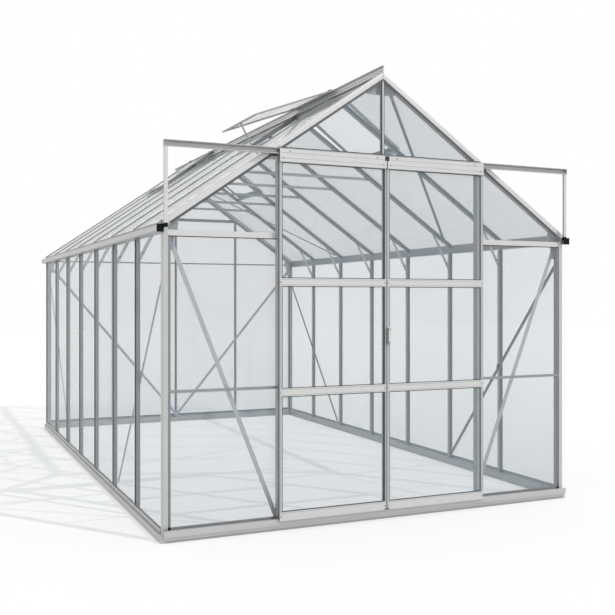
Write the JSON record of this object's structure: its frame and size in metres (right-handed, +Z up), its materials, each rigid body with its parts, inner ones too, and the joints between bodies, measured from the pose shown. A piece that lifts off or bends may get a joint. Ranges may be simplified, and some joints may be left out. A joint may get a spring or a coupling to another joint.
{
  "type": "glass greenhouse",
  "caption": "Aluminium-framed glass greenhouse with a gabled roof, two sliding doors on an overhead track, gutters, wind braces and hinged roof vents.",
  "frame": {"origin": "centre of the bounding box in plan, at ground level", "axes": "+X to the right of someone who faces the doors from outside, +Y from the door gable to the rear gable, +Z up"},
  "size_m": [2.61, 4.424, 2.5539],
  "materials": {
    "frame_aluminium": "mill finish extrusion",
    "bright_aluminium": "bright ribbed extrusion",
    "base_aluminium": "mill finish, slightly darker",
    "brace_steel": "galvanised flat strip",
    "glass": "clear float glass",
    "black_plastic": "moulded",
    "light_plastic": "moulded",
    "roller_nylon": "turned"
  },
  "bodies": {
    "house": {"base_frame": "base_aluminium", "base_corners": "base_aluminium", "wall_sills": "bright_aluminium", "corner_posts": "frame_aluminium", "door_posts": "frame_aluminium", "wall_bars": "frame_aluminium", "gable_bars": "frame_aluminium", "gable_rails": "frame_aluminium", "panel_rails": "frame_aluminium", "gutter_left": "frame_aluminium", "gutter_right": "frame_aluminium", "gutter_caps_front": "black_plastic", "gutter_caps_rear": "light_plastic", "verge_bars": "frame_aluminium", "roof_bars": "frame_aluminium", "ridge_bar": "frame_aluminium", "collar_ties": "brace_steel", "knee_brackets": "brace_steel", "wall_braces": "brace_steel", "gable_braces": "brace_steel", "roof_braces": "brace_steel", "gusset_plates": "brace_steel", "door_header": "frame_aluminium", "door_track": "frame_aluminium", "track_struts": "frame_aluminium", "door_guide": "bright_aluminium", "left_wall_glass": "glass", "right_wall_glass": "glass", "rear_gable_glass": "glass", "front_gable_glass": "glass", "roof_glass_left": "frame_aluminium", "roof_glass_right": "frame_aluminium", "vent_frames": "frame_aluminium", "vent_glass": "glass", "vent_sills": "frame_aluminium", "vent_stays": "frame_aluminium"},
    "door_left": {"door_left_stiles": "frame_aluminium", "door_left_rails": "bright_aluminium", "door_left_glass": "glass", "door_left_rollers": "roller_nylon"},
    "door_right": {"door_right_stiles": "frame_aluminium", "door_right_rails": "bright_aluminium", "door_right_glass": "glass", "door_right_handle": "bright_aluminium", "door_right_rollers": "roller_nylon"}
  },
  "joints": [
    {"name": "door_left_slide", "type": "slide", "parent": "house", "child": "door_left", "axis": [-1, 0, 0], "range_m": [0, 0.595]},
    {"name": "door_right_slide", "type": "slide", "parent": "house", "child": "door_right", "axis": [1, 0, 0], "range_m": [0, 0.595]}
  ]
}
